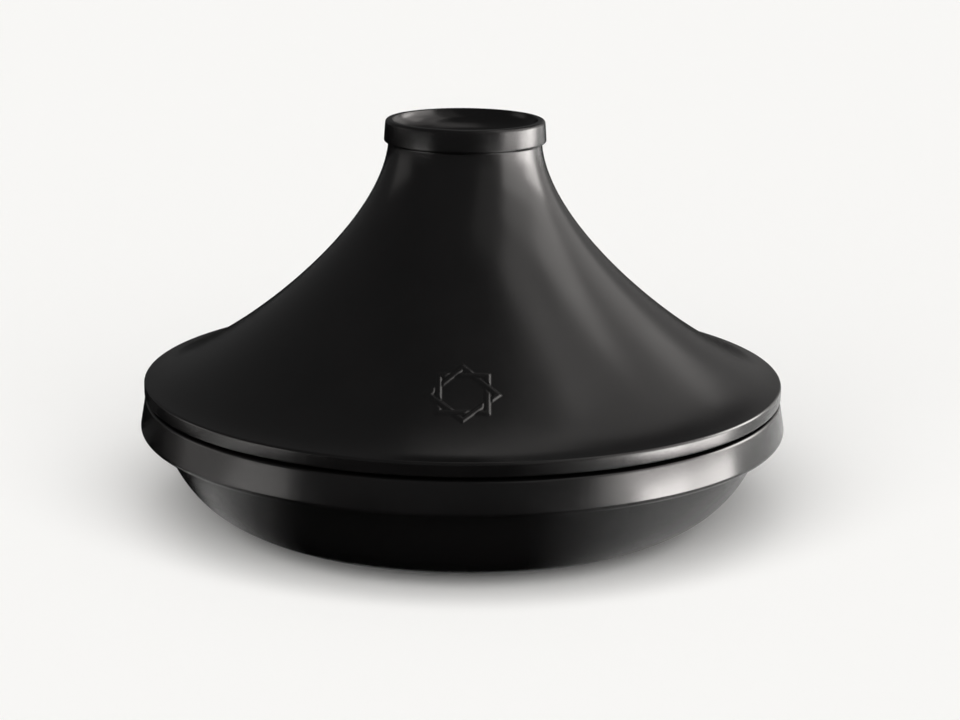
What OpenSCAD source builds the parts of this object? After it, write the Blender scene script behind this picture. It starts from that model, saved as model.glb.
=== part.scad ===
// Tagine: a round ceramic dish with a flared conical lid that rests on a ledge inside its rim.
// Origin at the middle of the foot, +Z up, millimetres.

/* [Dish] */
// Diameter across the lower edge of the collar, the widest place, before that edge is rounded
collar_d = 336.2; // [290:0.2:380]
// Height of the collar that runs around the rim
collar_h = 17.5; // [15:0.5:24]
// How much the radius of the collar shrinks from its lower edge to the rim
collar_draft = 3; // [0.5:0.1:5]
// How far the collar stands out beyond the bowl below it
collar_overhang = 10.5; // [6:0.1:13]
// Radius on the lower edge of the collar
collar_round = 2.5; // [0.5:0.1:4]
// Radius of the hollow corner between collar and bowl
collar_fillet = 2; // [0.5:0.1:4]
// Height of the bowl, from the table to the collar
bowl_h = 48.5; // [40:0.5:70]
// Diameter of the flat foot
foot_d = 198; // [150:1:230]
// Slope of the bowl's side under the collar, in degrees from level
bowl_side_slope = 72; // [60:1:84]
// Slope of the bowl where it leaves the foot, in degrees from level
bowl_foot_slope = 9.5; // [6:0.5:16]
// How full the bowl's curve is: 0.4 is flat, 0.85 is nearly a corner
bowl_fullness = 0.73; // [0.45:0.01:0.85]
// Thickness of the dish's wall and floor
dish_wall = 7.5; // [5.5:0.1:9]
// Radius that eases the inside floor into the side
floor_round = 30; // [5:1:60]

/* [Seat] */
// Thickness of the rim above the ledge
rim_wall = 7.5; // [6:0.1:9]
// Radius on both upper edges of the rim
rim_round = 1.6; // [0.5:0.1:3]
// Depth of the ledge below the rim
seat_depth = 9; // [6:0.5:12]
// Width of the ledge that the lid's flange stands on
seat_w = 6.3; // [5:0.1:8]
// Radius on the inner edge of the ledge
seat_round = 1.2; // [0.4:0.1:2]
// Clearance beside the flange
seat_clearance = 1.5; // [0.5:0.1:2.5]
// Open gap between the rim and the edge of the lid
rim_gap = 1.8; // [0.8:0.1:4]
// Thickness of the flange that hangs from the lid
flange_t = 6; // [4:0.1:8]
// Radius on the lower edges of the flange
flange_round = 1.2; // [0.4:0.1:2.5]

/* [Lid] */
// How far the edge of the lid stands out beyond the rim
lid_overhang = 0.4; // [0:0.1:3]
// Height from the underside of the lid's edge to the underside of the knob
cone_h = 128.9; // [100:0.1:160]
// Thickness of the lid's wall
lid_wall = 6.5; // [5:0.1:8]
// Height of the upright edge of the lid, before its shoulder is rounded
edge_h = 7; // [5:0.1:10]
// Radius of the shoulder
shoulder_round = 1.5; // [0.8:0.1:3]
// Radius on the lower corner of the lid's edge
edge_round = 0.9; // [0.3:0.1:2]
// Slope of the cone at the shoulder, in degrees from level
shoulder_slope = 4; // [2:0.5:12]
// Slope of the cone at the neck, in degrees from level
neck_slope = 86; // [76:0.5:88]
// How far the cone's curve follows its slope at the shoulder
shoulder_fullness = 0.21; // [0.1:0.01:0.4]
// How far the cone's curve follows its slope at the neck
neck_fullness = 0.45; // [0.3:0.01:0.7]
// Radius between the flange and the underside of the cone
flange_fillet = 6; // [3:0.5:9]

/* [Knob] */
// Diameter of the ring at the top of the lid, at its lower edge
knob_d = 83.2; // [70:0.2:100]
// Height of the ring
knob_h = 11.5; // [9:0.1:16]
// How much the radius of the ring shrinks from its lower edge to its crown
knob_draft = 0.8; // [0.2:0.1:2]
// How far the ring stands out beyond the neck
knob_step = 2.3; // [1.2:0.1:4]
// Width of the ring's crown, from its side to the edge of the well
crown_w = 3.7; // [2.8:0.1:8]
// Radius on the upper outer edge of the ring
crown_round = 1.8; // [0.8:0.1:3]
// Radius on the lower outer edge of the ring
knob_round = 1.2; // [0.5:0.1:2]
// Depth of the well in the knob
well_depth = 12; // [8:0.5:18]
// Radius on the edge of the well
well_edge_round = 0.5; // [0.2:0.1:1]
// Radius under the crown of the hollow inside the lid
hollow_round = 16; // [6:1:22]

/* [Hidden] */
glaze = "#1d1c1a";
curve_steps = 28;
arc_step = 12;
// A short fall on the well's side lets it leave its mould
well_side_slope = 82;
well_fullness = 0.72;
$fn = 180;

rim_z = bowl_h + collar_h;
rim_r = collar_d / 2 - collar_draft;
rim_inner_r = rim_r - rim_wall;
seat_z = rim_z - seat_depth;
seat_inner_r = rim_inner_r - seat_w;
bowl_r = collar_d / 2 - collar_overhang;
foot_r = foot_d / 2;

flange_r = rim_inner_r - seat_clearance;
flange_inner_r = flange_r - flange_t;
lid_z = rim_z + rim_gap;
lid_r = rim_r + lid_overhang;
neck_z = lid_z + cone_h;
knob_r = knob_d / 2;
crown_r = knob_r - knob_draft;
neck_r = knob_r - knob_step;
top_z = neck_z + knob_h;
well_r = crown_r - crown_w;
well_z = top_z - well_depth;
hollow_z = well_z - lid_wall;

// A direction in the section plane, by its angle from level
function heading(angle) = [cos(angle), sin(angle)];

// Where the line from a along da crosses the line from b along db
function meeting(a, da, b, db) = a + da * cross(b - a, db) / cross(da, db);

// Controls of a curve that leaves a along da and reaches b against db
function curve_controls(a, da, b, db, fullness_a, fullness_b) =
    let (corner = meeting(a, da, b, db))
    [a, a + (corner - a) * fullness_a, b + (corner - b) * fullness_b, b];

function curve_point(c, t) =
    c[0] * pow(1 - t, 3) + c[1] * 3 * t * pow(1 - t, 2) + c[2] * 3 * t * t * (1 - t) + c[3] * pow(t, 3);

function curve_heading(c, t) =
    let (d = (c[1] - c[0]) * pow(1 - t, 2) + (c[2] - c[1]) * 2 * t * (1 - t) + (c[3] - c[2]) * t * t)
    d / norm(d);

// Points along a curve, shifted to the right of its run by a distance
function curve(c, shift = 0) =
    [for (i = [0:curve_steps])
        let (t = i / curve_steps, d = curve_heading(c, t))
        curve_point(c, t) + [d[1], -d[0]] * shift];

function backwards(points) = [for (i = [len(points) - 1:-1:0]) points[i]];

function without_last(points) = [for (i = [0:len(points) - 2]) points[i]];

// How much of the edge from a to b the corner at a may use for its radius
function share(a, b) = norm([b[0] - a[0], b[1] - a[1]]) * a[2] / (a[2] + b[2]);

// One corner [r, z, radius] as an arc between its two edges
function corner_arc(before, at, after) =
    let (
        p = [at[0], at[1]],
        u = [before[0], before[1]] - p,
        v = [after[0], after[1]] - p,
        du = u / norm(u),
        dv = v / norm(v),
        half = acos(max(-1, min(1, du * dv))) / 2,
        reach = min(at[2] / tan(half), share(at, before), share(at, after)),
        radius = reach * tan(half),
        middle = p + (du + dv) / norm(du + dv) * radius / sin(half),
        from = p + du * reach - middle,
        turn = (180 - 2 * half) * sign(cross(du, dv)),
        steps = max(1, ceil(abs(turn) / arc_step))
    )
    [for (i = [0:steps])
        let (a = -turn * i / steps)
        middle + [from[0] * cos(a) - from[1] * sin(a), from[0] * sin(a) + from[1] * cos(a)]];

// An outline whose corners [r, z, radius] are rounded, where a point [r, z] stays as it is
function outline(points) =
    let (n = len(points), c = [for (p = points) [p[0], p[1], len(p) > 2 ? p[2] : 0]])
    [for (i = [0:n - 1])
        each c[i][2] > 0 ? corner_arc(c[(i + n - 1) % n], c[i], c[(i + 1) % n]) : [[c[i][0], c[i][1]]]];

module turned(points) {
    rotate_extrude() polygon(outline(points));
}

// The bowl's outer side, from the collar down to the foot
bowl_curve = curve_controls([bowl_r, bowl_h], heading(180 + bowl_side_slope), [foot_r, 0],
                            heading(bowl_foot_slope), bowl_fullness, bowl_fullness);
bowl_inside = curve(bowl_curve, dish_wall);
floor_edge = bowl_inside[curve_steps];

// The cone's outer side, from the shoulder up to the neck
shoulder_reach = min(shoulder_round, edge_h - edge_round) * tan((90 - shoulder_slope) / 2);
shoulder_corner = [lid_r, lid_z + edge_h];
cone_curve = curve_controls(shoulder_corner + heading(180 - shoulder_slope) * shoulder_reach,
                            heading(180 - shoulder_slope), [neck_r, neck_z], heading(-neck_slope),
                            shoulder_fullness, neck_fullness);

// The underside of the cone, and where the flange and the hollow's top meet it
cone_inside = curve(cone_curve, -lid_wall);
flange_top_z = lookup(flange_inner_r, backwards(cone_inside));
hollow_r = lookup(hollow_z, [for (p = cone_inside) [p[1], p[0]]]);

// The side and floor of the well, from its edge to the middle
well_curve = curve_controls([well_r, top_z - well_edge_round], heading(180 + well_side_slope),
                            [0, well_z], heading(0), well_fullness, well_fullness);

module dish() {
    color(glaze) turned(concat(
        [[0, 0]],
        without_last(backwards(curve(bowl_curve))),
        [[bowl_r, bowl_h, collar_fillet]],
        [[collar_d / 2, bowl_h, collar_round]],
        [[rim_r, rim_z, rim_round]],
        [[rim_inner_r, rim_z, rim_round]],
        [[rim_inner_r, seat_z]],
        [[seat_inner_r, seat_z, seat_round]],
        without_last(bowl_inside),
        [[floor_edge[0], floor_edge[1], floor_round]],
        [[0, floor_edge[1]]]
    ));
}

module lid() {
    color(glaze) turned(concat(
        backwards(curve(well_curve)),
        [[well_r, top_z, well_edge_round]],
        [[crown_r, top_z, crown_round]],
        [[knob_r, neck_z, knob_round]],
        backwards(curve(cone_curve)),
        [[shoulder_corner[0], shoulder_corner[1], shoulder_round]],
        [[lid_r, lid_z, edge_round]],
        [[flange_r, lid_z]],
        [[flange_r, seat_z, flange_round]],
        [[flange_inner_r, seat_z, flange_round]],
        [[flange_inner_r, flange_top_z, flange_fillet]],
        [for (p = cone_inside) if (p[0] < flange_inner_r - flange_fillet && p[1] < hollow_z - hollow_round) p],
        [[hollow_r, hollow_z, hollow_round]],
        [[0, hollow_z]]
    ));
}

dish();
lid();
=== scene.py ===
import bpy
from math import atan2, ceil, cos, degrees, hypot, pi, radians, sin, tan
from mathutils import Euler, Matrix, Vector


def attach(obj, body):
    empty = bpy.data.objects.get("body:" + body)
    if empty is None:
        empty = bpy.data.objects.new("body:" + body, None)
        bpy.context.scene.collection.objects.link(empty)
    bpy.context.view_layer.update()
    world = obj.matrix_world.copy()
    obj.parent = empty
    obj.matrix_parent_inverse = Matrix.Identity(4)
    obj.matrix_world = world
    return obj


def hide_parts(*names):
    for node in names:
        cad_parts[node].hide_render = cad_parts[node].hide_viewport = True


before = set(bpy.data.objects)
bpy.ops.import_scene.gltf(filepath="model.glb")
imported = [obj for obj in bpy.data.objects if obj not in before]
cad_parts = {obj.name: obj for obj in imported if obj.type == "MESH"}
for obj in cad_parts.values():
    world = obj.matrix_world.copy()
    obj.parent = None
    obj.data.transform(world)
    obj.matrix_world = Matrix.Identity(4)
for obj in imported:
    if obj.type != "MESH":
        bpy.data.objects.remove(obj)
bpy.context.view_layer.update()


# Camera
# A long lens a little above the pot, level with the tip of the lid and aimed down at the collar.
# The photograph's frame is 960 x 720 pixels, and the lens follows from the fit to its outlines.
photo_width_px = 960
lens_px = 2320
camera_distance = 1.1767
camera_height = 0.3799
camera_pitch = 14.234
camera_yaw = 0.428
camera_roll = 0.62

camera_data = bpy.data.cameras.new("photo_lens")
camera_data.sensor_width = 36
camera_data.lens = lens_px / photo_width_px * camera_data.sensor_width
camera = bpy.data.objects.new("photo_camera", camera_data)
bpy.context.scene.collection.objects.link(camera)
camera.location = (0, -camera_distance, camera_height)
aim = Euler((radians(90 - camera_pitch), 0, radians(-camera_yaw)), "XYZ").to_matrix()
camera.rotation_euler = (aim @ Matrix.Rotation(radians(camera_roll), 3, "Z")).to_euler()
bpy.context.scene.camera = camera
bpy.context.scene.view_settings.view_transform = "Standard"


# Floor
# A plain sheet of pale matt board, far wider than the view, that the pot stands on.
# It is flat, so its only shade is the pot's own soft shadow.
floor_radius = 9.0
floor_colour = "#F4F3F1"


def linear(hex_colour):
    """An sRGB colour written as #RRGGBB, as the linear colour that a shader takes."""
    shares = [int(hex_colour[i:i + 2], 16) / 255 for i in (1, 3, 5)]
    return [s / 12.92 if s <= 0.04045 else ((s + 0.055) / 1.055) ** 2.4 for s in shares] + [1]


def add_node(material, kind, values=None, links=None, **settings):
    """Adds one node: its settings, the values of its inputs, and what is linked to its inputs."""
    node = material.node_tree.nodes.new(kind)
    for name, setting in settings.items():
        setattr(node, name, setting)
    for name, value in (values or {}).items():
        node.inputs[name].default_value = value
    for name, output in (links or {}).items():
        material.node_tree.links.new(output, node.inputs[name])
    return node


def new_material(name):
    """An empty node material with its output, which the caller links a shader to."""
    material = bpy.data.materials.new(name)
    material.use_nodes = True
    material.node_tree.nodes.clear()
    return material


# Matt board: one even pale colour with no sheen, so that it shows only light and shadow
matt_board = new_material("matt_board")
board_shader = add_node(matt_board, "ShaderNodeBsdfDiffuse", {"Color": linear(floor_colour)})
add_node(matt_board, "ShaderNodeOutputMaterial", links={"Surface": board_shader.outputs[0]})

bpy.ops.object.select_all(action="DESELECT")
bpy.ops.mesh.primitive_circle_add(vertices=96, radius=floor_radius, fill_type="NGON")
floor = bpy.context.object
floor.name = "floor_board"
floor.data.materials.append(matt_board)


# Light
# Soft boxes on stands, brightest low on the right, with dim ones overhead and on the left. They are
# seen in the glaze alone and draw its lights. The black cloth on the board is painted shade: seen in the
# glaze alone, it draws the darks where the glaze would reflect the board in the pot's shade. The board
# keeps one even tone, because only a broad fill, in front and above, and the dim world light it.
warm_white = "#FFFBF8"
box_distance = 1.6
aim_height = 0.02


def add_lamp(name, place, towards, width, height, radiance):
    """A soft box that faces along a direction and shows an even radiance, in reflections alone."""
    lamp_data = bpy.data.lights.new(name, "AREA")
    lamp_data.shape = "RECTANGLE"
    lamp_data.size = width
    lamp_data.size_y = height
    lamp_data.energy = radiance * pi * width * height
    lamp_data.color = linear(warm_white)[:3]
    lamp = bpy.data.objects.new(name, lamp_data)
    bpy.context.scene.collection.objects.link(lamp)
    lamp.location = place
    lamp.rotation_euler = towards.to_track_quat("-Z", "Y").to_euler()
    lamp.visible_camera = False
    lamp.visible_diffuse = False


# name, from and to in degrees right of the front, from and to in degrees above the board, radiance
soft_boxes = [
    ("right_low", 55, 95, 0, 12, 5.4),
    ("right_middle", 55, 95, 12, 22, 3.3),
    ("right_upper", 55, 95, 22, 34, 2.9),
    ("right_high", 55, 95, 34, 50, 1.5),
    ("right_top", 55, 95, 50, 68, 0.85),
    ("front_right", 18, 55, 16, 64, 0.26),
    ("side_low", 95, 120, 0, 22, 7.5),
    ("side_high", 95, 120, 22, 50, 2.35),
    ("side_top", 95, 120, 50, 68, 0.78),
    ("back_low", 120, 145, 0, 34, 0.95),
    ("back_high", 120, 145, 34, 68, 0.48),
    ("back_right", 145, 172, 2, 24, 0.14),
    ("left_far", -112, -84, 6, 24, 0.45),
    ("top_side", 60, 180, 62, 78, 0.20),
    ("top_rear", 148, 194, 56, 78, 0.24),
    ("overhead", -20, 20, 78, 100, 0.32),
]
for name, from_turn, to_turn, from_rise, to_rise, radiance in soft_boxes:
    turn = radians(from_turn + to_turn) / 2
    rise = radians(from_rise + to_rise) / 2
    outwards = Vector((sin(turn) * cos(rise), -cos(turn) * cos(rise), sin(rise)))
    width = 2 * box_distance * tan(radians(to_turn - from_turn) / 2) * cos(rise)
    height = 2 * box_distance * tan(radians(to_rise - from_rise) / 2)
    add_lamp(name, Vector((0, 0, aim_height)) + outwards * box_distance, -outwards, width, height, radiance)

# name, distance to the right, from and to behind the middle of the pot, from and to in height, radiance
near_panels = [
    ("strip_front", 0.34, -0.28, -0.16, 0.0, 0.05, 21.0),
    ("strip_middle", 0.34, -0.16, -0.04, 0.0, 0.05, 12.0),
    ("strip_end", 0.34, -0.40, -0.28, 0.0, 0.12, 2.9),
    ("knob_panel", 0.34, -0.07, 0.10, 0.12, 0.22, 7.4),
    ("left_front", -0.36, -0.30, -0.15, 0.0, 0.16, 1.6),
    ("left_middle", -0.36, -0.15, 0.0, 0.0, 0.16, 0.68),
    ("left_back", -0.36, 0.0, 0.08, 0.0, 0.16, 0.10),
]
for name, right, from_y, to_y, low, high, radiance in near_panels:
    place = Vector((right, (from_y + to_y) / 2, (low + high) / 2))
    add_lamp(name, place, Vector((-right, 0, 0)), to_y - from_y, high - low, radiance)

mat_inner_r = 0.118
mat_outer_r = 8.0
mat_steps = 96
# The colour of the painted shade: black cloth that the glaze reflects where it would see the board in shade
painted_shade_black = "#0A0A0A"


def painted_shade_mat(name, turn, half_width, fade, lift):
    """A ring of black cloth on the board around the foot, seen in the glaze alone as painted shade of the
    board, whose cloth covers half_width degrees to each side of turn and thins out softly over the next
    fade degrees."""
    bpy.ops.object.select_all(action="DESELECT")
    bpy.ops.mesh.primitive_circle_add(vertices=mat_steps, radius=mat_inner_r, location=(0, 0, lift))
    mat = bpy.context.object
    mat.name = name
    bpy.ops.object.mode_set(mode="EDIT")
    bpy.ops.mesh.select_all(action="SELECT")
    bpy.ops.mesh.extrude_edges_move()
    widening = mat_outer_r / mat_inner_r
    bpy.ops.transform.resize(value=(widening, widening, 1))
    bpy.ops.object.mode_set(mode="OBJECT")
    bpy.ops.object.transform_apply(location=True, rotation=True, scale=True)
    # Black cloth as painted shade: it takes in nearly all light, has no gloss, and thins out softly where
    # the board's shade it stands for would fade
    shade_cloth = new_material(name + "_painted_shade")
    place = add_node(shade_cloth, "ShaderNodeTexCoord").outputs["Object"]
    turned = add_node(shade_cloth, "ShaderNodeMapping", {"Rotation": (0, 0, radians(90 - turn))},
                      {"Vector": place})
    parts = add_node(shade_cloth, "ShaderNodeSeparateXYZ", links={"Vector": turned.outputs["Vector"]})
    angle = add_node(shade_cloth, "ShaderNodeMath", links={0: parts.outputs["Y"], 1: parts.outputs["X"]},
                     operation="ARCTAN2")
    aside = add_node(shade_cloth, "ShaderNodeMath", links={0: angle.outputs[0]}, operation="ABSOLUTE")
    thin = add_node(shade_cloth, "ShaderNodeMapRange",
                    {"From Min": radians(half_width), "From Max": radians(half_width + fade),
                     "To Min": 0.0, "To Max": 1.0},
                    {"Value": aside.outputs[0]}, interpolation_type="SMOOTHSTEP")
    cloth = add_node(shade_cloth, "ShaderNodeBsdfDiffuse", {"Color": linear(painted_shade_black)})
    bare = add_node(shade_cloth, "ShaderNodeBsdfTransparent")
    mixed = add_node(shade_cloth, "ShaderNodeMixShader",
                     links={0: thin.outputs["Result"], 1: cloth.outputs[0], 2: bare.outputs[0]})
    add_node(shade_cloth, "ShaderNodeOutputMaterial", links={"Surface": mixed.outputs[0]})
    mat.data.materials.append(shade_cloth)
    mat.visible_camera = False
    mat.visible_diffuse = False
    mat.visible_shadow = False


# Painted shade: each ring of black cloth darkens the board as the glaze reflects it, in front, behind and
# on the left
# name, middle in degrees right of the front, degrees full to each side, then to fade, height on the board
for name, turn, half_width, fade, lift in [
    ("mat_front", -12, 25, 40, 0.001),
    ("mat_back", 198, 38, 22, 0.002),
    ("mat_left", -99, 12, 20, 0.003),
]:
    painted_shade_mat(name, turn, half_width, fade, lift)

# The fill is as wide as a big window and leans to the front, so the pot's shadow stays soft and faint
fill_energy = 5.3
fill_spread = 90
fill_tilt = 56
fill_data = bpy.data.lights.new("fill_above", "SUN")
fill_data.energy = fill_energy
fill_data.angle = radians(fill_spread)
fill = bpy.data.objects.new("fill_above", fill_data)
bpy.context.scene.collection.objects.link(fill)
fill.rotation_euler = (radians(fill_tilt), 0, 0)
fill.visible_glossy = False

world_strength = 0.085
studio_world = bpy.data.worlds.new("studio_world")
bpy.context.scene.world = studio_world
studio_world.use_nodes = True
studio_grey = studio_world.node_tree.nodes["Background"]
studio_grey.inputs["Color"].default_value = (1, 1, 1, 1)
studio_grey.inputs["Strength"].default_value = world_strength


# Dish
# The round dish is pressed from clay between two moulds and then glazed all over. A collar runs
# around its rim for the hands, and inside the rim a ledge carries the lid's flange. Only the flat
# foot and the ledge are wiped clean of glaze, because the pot stands on them in the kiln.
collar_r = 0.1681
collar_h = 0.0175
collar_draft = 0.003
collar_overhang = 0.0105
collar_round = 0.0025
collar_fillet = 0.002
bowl_h = 0.0485
foot_r = 0.099
bowl_side_slope = 72
bowl_foot_slope = 9.5
bowl_fullness = 0.73
dish_wall = 0.0075
floor_round = 0.030
rim_wall = 0.0075
rim_round = 0.0016
seat_depth = 0.009
seat_w = 0.0063
seat_round = 0.0012

rim_z = bowl_h + collar_h
rim_r = collar_r - collar_draft
rim_inner_r = rim_r - rim_wall
seat_z = rim_z - seat_depth
seat_inner_r = rim_inner_r - seat_w
bowl_r = collar_r - collar_overhang


def heading(angle):
    """A direction in the section plane, by its angle from level in degrees."""
    return Vector((cos(radians(angle)), sin(radians(angle))))


def curve_controls(start, leaving, end, arriving, start_fullness, end_fullness):
    """Controls of a curve that leaves start along one direction and reaches end against another."""
    across = leaving.cross(arriving)
    corner = start + leaving * ((end - start).cross(arriving) / across)
    return [start, start.lerp(corner, start_fullness), end.lerp(corner, end_fullness), end]


def curve_at(controls, share, shift=0.0):
    """The point at a share of the curve, moved to the right of its run by a distance."""
    a, b, c, d = controls
    rest = 1 - share
    point = a * rest**3 + b * 3 * share * rest**2 + c * 3 * share**2 * rest + d * share**3
    run = (b - a) * rest**2 + (c - b) * 2 * share * rest + (d - c) * share**2
    run.normalize()
    return point + Vector((run.y, -run.x)) * shift


def curve_points(controls, steps, shift=0.0):
    """Points along a curve at even shares."""
    return [curve_at(controls, i / steps, shift) for i in range(steps + 1)]


def rounded(corners, arc_step=7.5):
    """The section with each corner (point, radius) as an arc, as the maker eases its edges."""
    section = []
    for i, (corner, radius) in enumerate(corners):
        if not radius:
            section.append(corner)
            continue
        before, before_radius = corners[i - 1]
        after, after_radius = corners[(i + 1) % len(corners)]
        back = before - corner
        ahead = after - corner
        half = back.angle(ahead) / 2
        reach = min(radius / tan(half),
                    back.length * radius / (radius + before_radius),
                    ahead.length * radius / (radius + after_radius))
        size = reach * tan(half)
        back.normalize()
        ahead.normalize()
        middle = corner + (back + ahead).normalized() * (size / sin(half))
        first = corner + back * reach - middle
        turn = (pi - 2 * half) * (1 if back.cross(ahead) > 0 else -1)
        steps = max(2, ceil(degrees(abs(turn)) / arc_step))
        for k in range(steps + 1):
            section.append(middle + Matrix.Rotation(-turn * k / steps, 2) @ first)
    return section


start_size = 0.001
weld_gap = 0.000004


def turned_shape(name, section, spins, start_turn):
    """Draws half the section in edit mode as by hand, then spins it once around the upright axis.
    spins holds (degrees, steps) one after the other; a spin runs clockwise, seen from above."""
    outwards = Vector((cos(radians(start_turn)), sin(radians(start_turn)), 0))
    bpy.ops.object.select_all(action="DESELECT")
    first = outwards * section[0].x + Vector((0, 0, section[0].y))
    bpy.ops.mesh.primitive_plane_add(size=start_size, location=first)
    shape = bpy.context.object
    shape.name = name
    bpy.ops.object.transform_apply(location=True, rotation=True, scale=True)
    bpy.ops.object.mode_set(mode="EDIT")
    bpy.ops.mesh.select_mode(type="VERT")
    bpy.ops.mesh.select_all(action="SELECT")
    bpy.ops.mesh.merge(type="CENTER")
    for here, there in zip(section, section[1:]):
        step = outwards * (there.x - here.x) + Vector((0, 0, there.y - here.y))
        bpy.ops.mesh.extrude_region_move(TRANSFORM_OT_translate={"value": step})
    bpy.ops.mesh.select_all(action="SELECT")
    for spin_degrees, spin_steps in spins:
        bpy.ops.mesh.spin(steps=spin_steps, angle=radians(spin_degrees), center=(0, 0, 0), axis=(0, 0, 1))
    bpy.ops.mesh.select_all(action="SELECT")
    bpy.ops.mesh.remove_doubles(threshold=weld_gap)
    bpy.ops.mesh.normals_make_consistent(inside=False)
    bpy.ops.object.mode_set(mode="OBJECT")
    bpy.ops.object.shade_smooth()
    return shape


bowl_curve = curve_controls(Vector((bowl_r, bowl_h)), heading(180 + bowl_side_slope), Vector((foot_r, 0)),
                            heading(bowl_foot_slope), bowl_fullness, bowl_fullness)
bowl_steps = 44
dish_spin_steps = 240
foot_ring_r = foot_r * 0.5
bowl_outside = curve_points(bowl_curve, bowl_steps)
bowl_inside = curve_points(bowl_curve, bowl_steps, dish_wall)
dish_floor = bowl_inside[-1]
dish_section = rounded(
    [(Vector((0, 0)), 0), (Vector((foot_ring_r, 0)), 0)]
    + [(point, 0) for point in reversed(bowl_outside[1:])]
    + [(Vector((bowl_r, bowl_h)), collar_fillet),
       (Vector((collar_r, bowl_h)), collar_round),
       (Vector((rim_r, rim_z)), rim_round),
       (Vector((rim_inner_r, rim_z)), rim_round),
       (Vector((rim_inner_r, seat_z)), 0),
       (Vector((seat_inner_r, seat_z)), seat_round)]
    + [(point, 0) for point in bowl_inside[:-1]]
    + [(dish_floor, floor_round), (Vector((0, dish_floor.y)), 0)]
)
dish = turned_shape("dish_pressed", dish_section, [(360, dish_spin_steps)], 0)


# Black satin glaze: a glassy coat over dark clay that melts smooth but stays slightly uneven.
# Nearly all its light is reflection, soft-edged, with a fine ripple and a few pinholes.
glaze_black = "#040404"
glaze_thin = "#0A0909"
glaze_roughness = (0.21, 0.27)
cloud_size = 0.040
ripple_size = 0.0024
ripple_height = 0.000010
pinhole_spacing = 0.009
pinhole_radius = 0.0005
pinhole_depth = 0.00006


def satin_glaze(name):
    """The glaze of one piece, with every pattern at its real size on the piece's own coordinates."""
    glaze = new_material(name)
    place = add_node(glaze, "ShaderNodeTexCoord").outputs["Object"]
    clouds = add_node(glaze, "ShaderNodeTexNoise",
                      {"Scale": 1 / cloud_size, "Detail": 5.0, "Roughness": 0.55},
                      {"Vector": place}).outputs["Fac"]
    tint = add_node(glaze, "ShaderNodeMix", {"A": linear(glaze_black), "B": linear(glaze_thin)},
                    {"Factor": clouds}, data_type="RGBA")
    gloss = add_node(glaze, "ShaderNodeMapRange",
                     {"From Min": 0.3, "From Max": 0.7,
                      "To Min": glaze_roughness[0], "To Max": glaze_roughness[1]},
                     {"Value": clouds})
    ripple = add_node(glaze, "ShaderNodeTexNoise",
                      {"Scale": 1 / ripple_size, "Detail": 2.0, "Roughness": 0.5},
                      {"Vector": place})
    rippled = add_node(glaze, "ShaderNodeBump", {"Strength": 1.0, "Distance": ripple_height},
                       {"Height": ripple.outputs["Fac"]})
    pinholes = add_node(glaze, "ShaderNodeTexVoronoi", {"Scale": 1 / pinhole_spacing, "Randomness": 1.0},
                        {"Vector": place})
    hollow = add_node(glaze, "ShaderNodeMapRange",
                      {"From Min": 0.0, "From Max": pinhole_radius / pinhole_spacing,
                       "To Min": 0.0, "To Max": 1.0},
                      {"Value": pinholes.outputs["Distance"]}, interpolation_type="SMOOTHSTEP")
    pitted = add_node(glaze, "ShaderNodeBump", {"Strength": 1.0, "Distance": pinhole_depth},
                      {"Height": hollow.outputs["Result"], "Normal": rippled.outputs["Normal"]})
    shader = add_node(glaze, "ShaderNodeBsdfPrincipled", {"IOR": 1.5},
                      {"Base Color": tint.outputs["Result"], "Roughness": gloss.outputs["Result"],
                       "Normal": pitted.outputs["Normal"]})
    add_node(glaze, "ShaderNodeOutputMaterial", links={"Surface": shader.outputs[0]})
    return glaze


# Bare stoneware where the glaze is wiped off: fired clay, dry and grainy, with no gloss
clay_dark = "#4A4039"
clay_light = "#6A5D52"
clay_grain = 0.0009
clay_grain_height = 0.00006


def bare_clay(name):
    """The fired body of the pot, without glaze."""
    clay = new_material(name)
    place = add_node(clay, "ShaderNodeTexCoord").outputs["Object"]
    grain = add_node(clay, "ShaderNodeTexNoise", {"Scale": 1 / clay_grain, "Detail": 4.0, "Roughness": 0.7},
                     {"Vector": place}).outputs["Fac"]
    tint = add_node(clay, "ShaderNodeMix", {"A": linear(clay_dark), "B": linear(clay_light)},
                    {"Factor": grain}, data_type="RGBA")
    rough = add_node(clay, "ShaderNodeBump", {"Strength": 0.6, "Distance": clay_grain_height},
                     {"Height": grain})
    shader = add_node(clay, "ShaderNodeBsdfPrincipled", {"Roughness": 0.88, "Specular IOR Level": 0.3},
                      {"Base Color": tint.outputs["Result"], "Normal": rough.outputs["Normal"]})
    add_node(clay, "ShaderNodeOutputMaterial", links={"Surface": shader.outputs[0]})
    return clay


def leave_bare(shape, low, high, inner, outer):
    """Gives the faces between two heights and two radii the piece's second material, the bare clay."""
    bpy.ops.object.mode_set(mode="EDIT")
    bpy.ops.mesh.select_mode(type="FACE")
    bpy.ops.mesh.select_all(action="DESELECT")
    bpy.ops.object.mode_set(mode="OBJECT")
    for face in shape.data.polygons:
        radius = hypot(face.center.x, face.center.y)
        face.select = low < face.center.z < high and inner < radius < outer
    bpy.ops.object.mode_set(mode="EDIT")
    shape.active_material_index = 1
    bpy.ops.object.material_slot_assign()
    bpy.ops.object.mode_set(mode="OBJECT")


foot_margin = 0.0015
dish.data.materials.append(satin_glaze("dish_satin_glaze"))
dish.data.materials.append(bare_clay("dish_bare_clay"))
level_margin = 0.0001
leave_bare(dish, -level_margin, level_margin, 0, foot_r - foot_margin)
leave_bare(dish, seat_z - level_margin, seat_z + level_margin, seat_inner_r, rim_inner_r)
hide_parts("dish")
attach(dish, "root")


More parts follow.
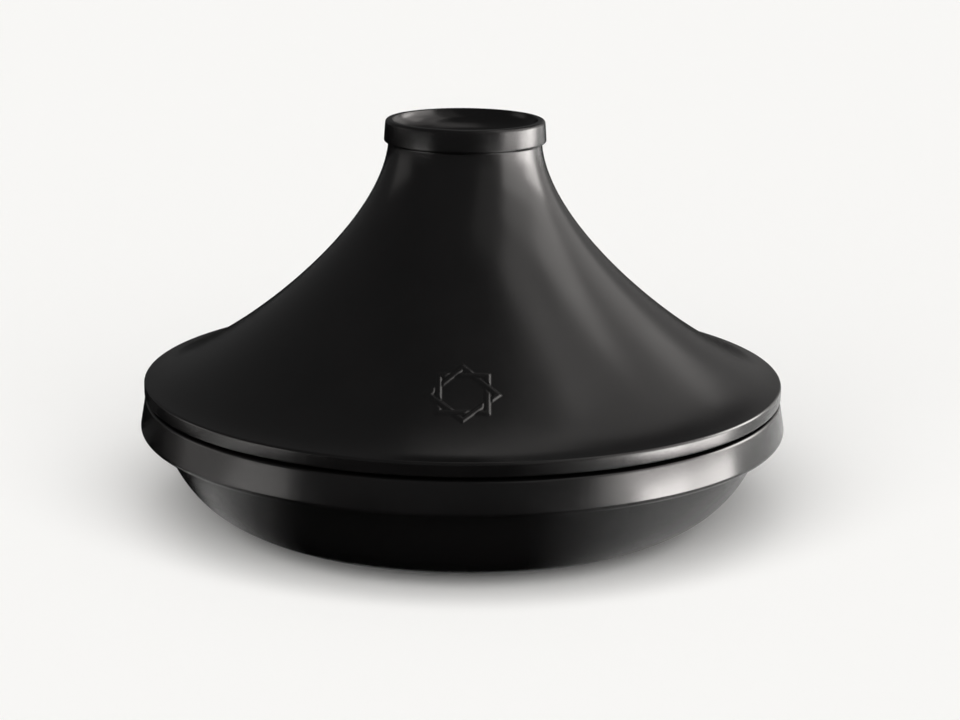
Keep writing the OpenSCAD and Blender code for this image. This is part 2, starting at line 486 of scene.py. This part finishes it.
# Lid
# The lid is pressed in one piece and glazed inside and out: a round edge that covers the rim, a
# cone that sweeps up to a narrow neck, and a ring at the top that is its knob. The well in the
# ring holds a little cold water, and a flange below the edge drops into the dish and carries it.
seat_clearance = 0.0015
rim_gap = 0.0018
flange_t = 0.006
flange_round = 0.0012
lid_overhang = 0.0004
cone_h = 0.1289
lid_wall = 0.0065
edge_h = 0.007
shoulder_round = 0.0015
edge_round = 0.0009
shoulder_slope = 4
neck_slope = 86
shoulder_fullness = 0.21
neck_fullness = 0.45
flange_fillet = 0.006
knob_r = 0.0416
knob_h = 0.0115
knob_draft = 0.0008
knob_step = 0.0023
crown_w = 0.0037
crown_round = 0.0018
knob_round = 0.0012
well_depth = 0.012
well_edge_round = 0.0005
well_side_slope = 82
well_fullness = 0.72
hollow_round = 0.016

flange_r = rim_inner_r - seat_clearance
flange_inner_r = flange_r - flange_t
lid_z = rim_z + rim_gap
lid_r = rim_r + lid_overhang
neck_z = lid_z + cone_h
crown_r = knob_r - knob_draft
neck_r = knob_r - knob_step
top_z = neck_z + knob_h
well_r = crown_r - crown_w
well_z = top_z - well_depth
hollow_z = well_z - lid_wall

shoulder_reach = shoulder_round * tan(radians(90 - shoulder_slope) / 2)
shoulder_corner = Vector((lid_r, lid_z + edge_h))
cone_curve = curve_controls(shoulder_corner + heading(180 - shoulder_slope) * shoulder_reach,
                            heading(180 - shoulder_slope), Vector((neck_r, neck_z)), heading(-neck_slope),
                            shoulder_fullness, neck_fullness)
well_curve = curve_controls(Vector((well_r, top_z - well_edge_round)), heading(180 + well_side_slope),
                            Vector((0, well_z)), heading(0), well_fullness, well_fullness)

# The star on the front of the lid: its place on the cone and the size of its raised line
star_rise = 0.0278
star_width = 0.036
star_line = 0.0024
star_relief = 0.0008
star_softness = 0.0011
star_reach = star_width * 0.6
star_sector = 20
star_sector_steps = 120
lid_spin_steps = 150
star_row_spacing = 0.0003
cone_row_spacing = 0.0035
well_steps = 24
cone_inside_steps = 48
star_share = min((i / 1000 for i in range(1001)),
                 key=lambda share: abs(curve_at(cone_curve, share).y - lid_z - star_rise))
star_middle = curve_at(cone_curve, star_share)
star_slope = (curve_at(cone_curve, star_share + 0.01) - star_middle).normalized()

# The mesh is drawn fine where the star lies and wide elsewhere
cone_outside = []
share = 0
while share < 1:
    point = curve_at(cone_curve, share)
    cone_outside.append(point)
    spacing = star_row_spacing if (point - star_middle).length < star_reach else cone_row_spacing
    share += spacing / ((curve_at(cone_curve, share + 0.001) - point).length / 0.001)
cone_outside.append(curve_at(cone_curve, 1))
cone_inside = curve_points(cone_curve, cone_inside_steps, -lid_wall)


def height_at(points, radius):
    """The height of a falling run of points at a radius."""
    for low, high in zip(points, points[1:]):
        if high.x <= radius <= low.x:
            return low.y + (high.y - low.y) * (radius - low.x) / (high.x - low.x)


def radius_at(points, height):
    """The radius of a rising run of points at a height."""
    for low, high in zip(points, points[1:]):
        if low.y <= height <= high.y:
            return low.x + (high.x - low.x) * (height - low.y) / (high.y - low.y)


lid_section = rounded(
    [(point, 0) for point in reversed(curve_points(well_curve, well_steps))]
    + [(Vector((well_r, top_z)), well_edge_round),
       (Vector((crown_r, top_z)), crown_round),
       (Vector((knob_r, neck_z)), knob_round)]
    + [(point, 0) for point in reversed(cone_outside)]
    + [(shoulder_corner, shoulder_round),
       (Vector((lid_r, lid_z)), edge_round),
       (Vector((flange_r, lid_z)), 0),
       (Vector((flange_r, seat_z)), flange_round),
       (Vector((flange_inner_r, seat_z)), flange_round),
       (Vector((flange_inner_r, height_at(cone_inside, flange_inner_r))), flange_fillet)]
    + [(point, 0) for point in cone_inside
       if point.x < flange_inner_r - flange_fillet and point.y < hollow_z - hollow_round]
    + [(Vector((radius_at(cone_inside, hollow_z), hollow_z)), hollow_round),
       (Vector((0, hollow_z)), 0)]
)
front = -90
lid = turned_shape("lid_pressed", lid_section,
                   [(star_sector, star_sector_steps), (360 - star_sector, lid_spin_steps)],
                   front + star_sector / 2)


def soft_edge(distance):
    """1 on the raised line and 0 beyond it, with the soft edge that glaze leaves."""
    share = min(1, max(0, (star_line / 2 - distance) / star_softness + 0.5))
    return share * share * (3 - 2 * share)


def star_height(across, along):
    """How much of its relief the star has at a place: two square frames, each over and under the other."""
    side = star_width / 2 * cos(radians(45)) - star_line / 2
    straight = abs(max(abs(across), abs(along)) - side)
    turned = abs((abs(across) + abs(along)) * cos(radians(45)) - side)
    crossing = int((degrees(atan2(along, across)) % 360) // 45)
    over, under = (straight, turned) if crossing % 2 else (turned, straight)
    groove = min(1, max(0, (over - star_line / 2) / star_softness))
    return max(soft_edge(over), soft_edge(under) * groove)


star_line_group = lid.vertex_groups.new(name="star_line")
star_up = Vector((0, -star_slope.x, star_slope.y))
star_out = Vector((0, -star_slope.y, -star_slope.x))
star_place = Vector((0, -star_middle.x, star_middle.y))
for vertex in lid.data.vertices:
    offset = vertex.co - star_place
    if abs(offset.dot(star_out)) < lid_wall / 2 and offset.length < star_reach:
        height = star_height(offset.x, offset.dot(star_up))
        if height > 0:
            star_line_group.add([vertex.index], height, "REPLACE")
raised = lid.modifiers.new("star_relief", "DISPLACE")
raised.direction = "NORMAL"
raised.mid_level = 0
raised.strength = star_relief
raised.vertex_group = "star_line"
bpy.ops.object.modifier_apply(modifier="star_relief")

lid.data.materials.append(satin_glaze("lid_satin_glaze"))
lid.data.materials.append(bare_clay("lid_bare_clay"))
leave_bare(lid, seat_z - level_margin, seat_z + level_margin, flange_inner_r, flange_r)
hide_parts("lid")
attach(lid, "root")
